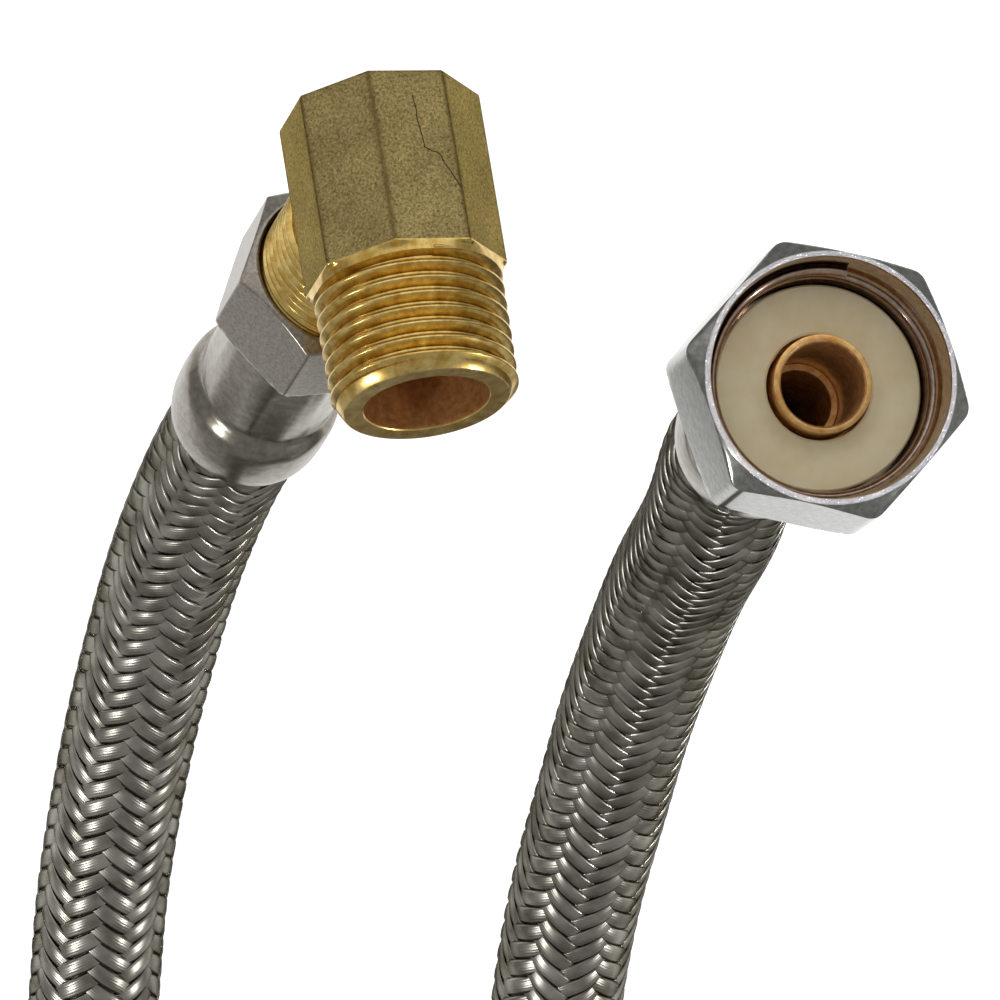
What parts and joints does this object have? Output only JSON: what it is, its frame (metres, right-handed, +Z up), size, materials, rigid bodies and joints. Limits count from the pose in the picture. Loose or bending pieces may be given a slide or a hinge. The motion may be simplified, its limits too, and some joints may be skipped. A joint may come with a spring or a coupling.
{
  "type": "braided supply line",
  "caption": "Steel-braided water hose with a brass pipe-thread elbow on a coupling nut at one end and a swivel nut at the other, tied in a coil.",
  "frame": {"origin": "on the floor under the middle of the whole line, coil included", "axes": "+Y from the fittings towards the coil, +Z up, +X to the side of the elbow's hose stretch"},
  "size_m": [0.1544, 0.286, 0.0976],
  "materials": {
    "yellow_brass": "machined brass bar, dull on the sawn and drawn faces, bright on the threads",
    "nickel_plate": "satin nickel plate on brass",
    "chrome_plate": "bright chrome plate with fine scratches",
    "ferrule_steel": "crimped stainless sheet",
    "steel_braid": "woven stainless wire",
    "braided_hose": "woven stainless wire over a rubber tube",
    "black_rubber": "moulded black rubber",
    "washer_fibre": "cream flat washer, dull",
    "strap_nylon": "black nylon strap"
  },
  "bodies": {
    "hose": {"hose_coil": "braided_hose", "elbow_hose_run": "braided_hose", "supply_hose_run": "braided_hose", "elbow_tube_end": "black_rubber", "elbow_braid_end": "steel_braid", "supply_tube_end": "black_rubber", "supply_braid_end": "steel_braid", "elbow_ferrule": "ferrule_steel", "supply_ferrule": "ferrule_steel", "coupling_stem": "yellow_brass", "cone_gasket": "black_rubber", "tailpiece": "yellow_brass", "flat_washer": "washer_fibre", "coil_strap_1": "strap_nylon", "coil_strap_2": "strap_nylon", "coil_strap_3": "strap_nylon"},
    "coupling_nut": {"coupling_nut": "nickel_plate"},
    "elbow": {"elbow_body": "yellow_brass"},
    "swivel_nut": {"swivel_nut": "chrome_plate"}
  },
  "joints": [
    {"name": "coupling_nut_spin", "type": "hinge", "parent": "hose", "child": "coupling_nut", "pos_m": [-0.009, -0.11738, 0.0473], "axis": [-0.2855, -0.6848, 0.6705], "continuous": true},
    {"name": "elbow_swivel", "type": "hinge", "parent": "hose", "child": "elbow", "pos_m": [-0.01511, -0.13203, 0.06165], "axis": [-0.2855, -0.6848, 0.6705], "continuous": true},
    {"name": "swivel_nut_spin", "type": "hinge", "parent": "hose", "child": "swivel_nut", "pos_m": [-0.05253, -0.12489, 0.09207], "axis": [-0.177, -0.4768, 0.861], "continuous": true}
  ]
}
